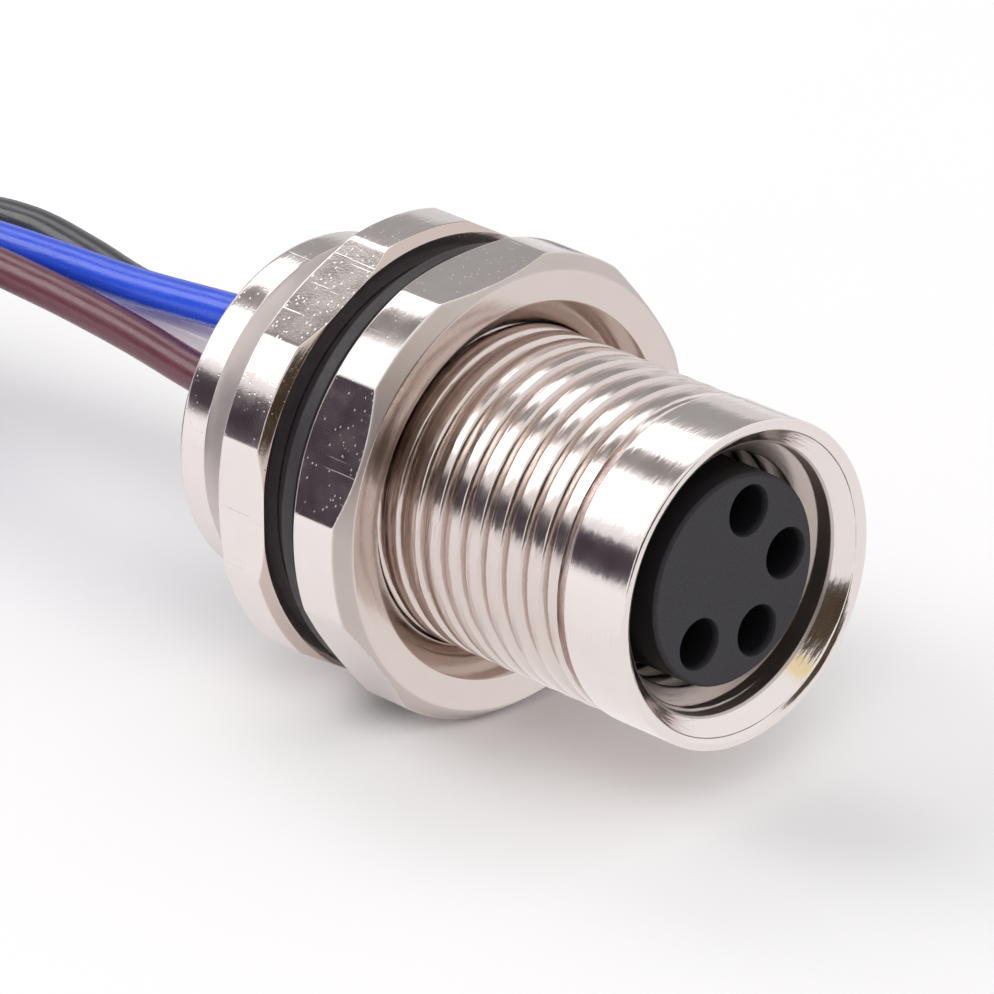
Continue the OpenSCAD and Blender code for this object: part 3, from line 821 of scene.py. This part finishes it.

# The chamfers are dull, and the front face and the countersinks are browned with painted reflection and
# shade.
on_chamfer = within(x, 3.30, 3.66) + within(x, 1.24, 1.60)
in_countersink = smooth_step(-radius, -5.86, -5.80)
on_front = smooth_step(x, 3.66, nut_front)
mark(nut, "milled", np.maximum(milled, 0.4))
mark(nut, "dull", on_chamfer * smooth_step(radius, 6.70, 6.76) * (1 - milled))
mark(nut, "painted_shade_and_reflection", np.maximum(0.38 * in_countersink, 0.26 * on_front))
nut.data.materials.append(nickel_finish("nut_nickel", line_depth=0.004, grain_depth=0.005))
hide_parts("panel_nut")
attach(nut, "nut")


# The studio: a white table in a white surround that lights softly from all sides, two softboxes behind
# the connector and a fill lamp on the camera's side, and dark, grey and pale cards and papers round
# about that only the bright metal mirrors.
def pale_paper(name, colour):
    """Matte paper with a faint fibre in its tone."""
    material, tree, shader = new_finish(name)
    fibre = add_mottle(tree, cell=30.0)
    add_shades(tree, shader, fibre.outputs["Value"], colour, tuple(0.99 * c for c in colour))
    shader.inputs["Roughness"].default_value = 0.9
    shader.inputs["Specular IOR Level"].default_value = 0.0
    return material


def sheet_at(name, centre, across, upward, wide, tall):
    """A flat sheet of the given size, in metres, with its middle at centre."""
    corners = np.array([(-1, -1), (1, -1), (1, 1), (-1, 1)]) / 2
    points = np.array(centre) + corners[:, :1] * wide * np.array(across)
    points = points + corners[:, 1:] * tall * np.array(upward)
    mesh = bpy.data.meshes.new(name)
    mesh.from_pydata(points.tolist(), [], [(0, 1, 2, 3)])
    made = bpy.data.objects.new(name, mesh)
    bpy.context.scene.collection.objects.link(made)
    return made


table_height = -7.15 * mm
table = sheet_at("table", (0, 0, table_height), (1, 0, 0), (0, 1, 0), 6, 6)
table.data.materials.append(pale_paper("table_paper", (0.985, 0.98, 0.985)))

off_axis_share = math.hypot(camera_back[1], camera_back[2])
card_distance = 0.45
card_white = (1, 0.985, 0.98)


def mirrored(angle):
    """The direction that a turned face at this angle mirrors to the camera: the camera's direction with
    its part along the axis reversed and the rest turned about the axis by twice the angle. The angle
    counts from the side nearest to the camera, upwards."""
    near = np.array([0, camera_back[1], camera_back[2]])
    over = np.array([0, camera_back[2], -camera_back[1]])
    twice = math.radians(2 * angle)
    return np.array([-camera_back[0], 0, 0]) + math.cos(twice) * near + math.sin(twice) * over


def facing_frame(toward, level_with, roll=0.0):
    """Across and upward directions of a sheet that faces the connector from this direction, where
    across is square to level_with before it is rolled."""
    across = np.cross(level_with, toward)
    across /= np.linalg.norm(across)
    upward = np.cross(toward, across)
    r = math.radians(roll)
    return math.cos(r) * across + math.sin(r) * upward, math.cos(r) * upward - math.sin(r) * across


def studio_card(name, centre, across, upward, wide, tall, level, tint=card_white):
    """A card of one level with its middle at centre, which only mirror images show."""
    card = sheet_at(name, centre, across, upward, wide, tall)
    material, tree, shader = new_finish(name)
    fibre = add_mottle(tree, cell=40.0)
    add_shades(tree, shader, fibre.outputs["Value"], (0, 0, 0), (0.001, 0.001, 0.001))
    shader.inputs["Specular IOR Level"].default_value = 0.0
    shader.inputs["Emission Color"].default_value = (*tint, 1)
    shader.inputs["Emission Strength"].default_value = level
    card.data.materials.append(material)
    card.visible_camera = False
    card.visible_diffuse = False
    card.visible_shadow = False
    card.visible_transmission = False


def mirror_card(name, first, last, level, wide=0.5, roll=0.0, tint=card_white):
    """A card that turned faces between two angles mirror: as tall as the angle that it fills at the
    cards' distance."""
    toward = mirrored((first + last) / 2)
    along = mirrored(last) - mirrored(first)
    across, upward = facing_frame(toward, along / np.linalg.norm(along), roll)
    tall = 2 * card_distance * math.tan(math.radians(off_axis_share * (last - first)))
    studio_card(name, card_distance * toward, across, upward, wide, tall, level, tint)


mirror_card("dark_card", -16, -3, level=0.05, roll=8, tint=(1.0, 0.72, 1.0))
mirror_card("gap_card", 20.5, 29.5, level=0.27, wide=0.30, roll=-4, tint=(1.0, 0.93, 0.89))
mirror_card("grey_card", 43, 62, level=0.40)
mirror_card("pale_card", 62, 72, level=0.75)


def outlook(turned, lifted):
    """The direction at this angle from +X towards +Y and at this angle above the table."""
    a, b = math.radians(turned), math.radians(lifted)
    return np.array([math.cos(b) * math.cos(a), math.cos(b) * math.sin(a), math.sin(b)])


upright = np.array([0, 0, 1])
lens_side = outlook(-26, 15)
studio_card("lens_side_card", 0.8 * lens_side, *facing_frame(lens_side, upright),
            wide=1.60, tall=0.62, level=0.07, tint=(1.0, 0.70, 0.45))
studio_card("paper_behind", (-0.110, 0.052, table_height + 0.2 * mm), (0.91, -0.41, 0), (0.41, 0.91, 0),
            wide=0.15, tall=0.085, level=0.16)
studio_card("paper_in_front", (0.031, 0.010, table_height + 0.1 * mm), (1, 0, 0), (0, 1, 0),
            wide=0.055, tall=0.090, level=0.95)
amber_side = outlook(-13, 42)
studio_card("amber_card", card_distance * amber_side, *facing_frame(amber_side, upright),
            wide=0.11, tall=0.07, level=0.95, tint=(1.0, 0.81, 0.36))


def softbox(name, toward, along, wide, tall, level, away=0.42):
    """A rectangular lamp in that direction, of the given radiance, with its wide side square to along."""
    lamp = bpy.data.lights.new(name, "AREA")
    lamp.shape = "RECTANGLE"
    lamp.size = wide
    lamp.size_y = tall
    lamp.energy = level * math.pi * wide * tall
    lamp.color = (1.0, 0.99, 0.985)
    box = bpy.data.objects.new(name, lamp)
    across, upward = facing_frame(toward, along / np.linalg.norm(along))
    turned = Matrix(np.stack([across, upward, toward], axis=1).tolist()).to_4x4()
    box.matrix_world = Matrix.Translation(away * toward) @ turned
    box.visible_camera = False
    bpy.context.scene.collection.objects.link(box)
    return box


softbox("near_softbox", mirrored(10.5), mirrored(11.5) - mirrored(9.5), wide=0.30, tall=0.165, level=2.8)
softbox("top_softbox", mirrored(36), mirrored(37) - mirrored(35), wide=0.30, tall=0.140, level=1.45)
fill_lamp = softbox("fill_lamp", outlook(-44, 42), upright, wide=0.40, tall=0.40, level=3.4, away=0.9)
fill_lamp.visible_glossy = False

# The surround is white to the camera and in mirror images, and lights the rest a little less.
surround = bpy.data.worlds.new("surround")
bpy.context.scene.world = surround
surround.use_nodes = True
tree = surround.node_tree
background = tree.nodes["Background"]
background.inputs["Color"].default_value = (1.0, 0.992, 1.0, 1)
rays = tree.nodes.new("ShaderNodeLightPath").outputs
seen = worked(tree, "ADD", rays["Is Camera Ray"], rays["Is Glossy Ray"])
seen = worked(tree, "ADD", seen, rays["Is Transmission Ray"])
level = add_node(tree, "ShaderNodeMapRange", To_Min=0.70, To_Max=1.0)
tree.links.new(seen, level.inputs["Value"])
tree.links.new(level.outputs["Result"], background.inputs["Strength"])

bpy.context.scene.view_settings.view_transform = "Standard"
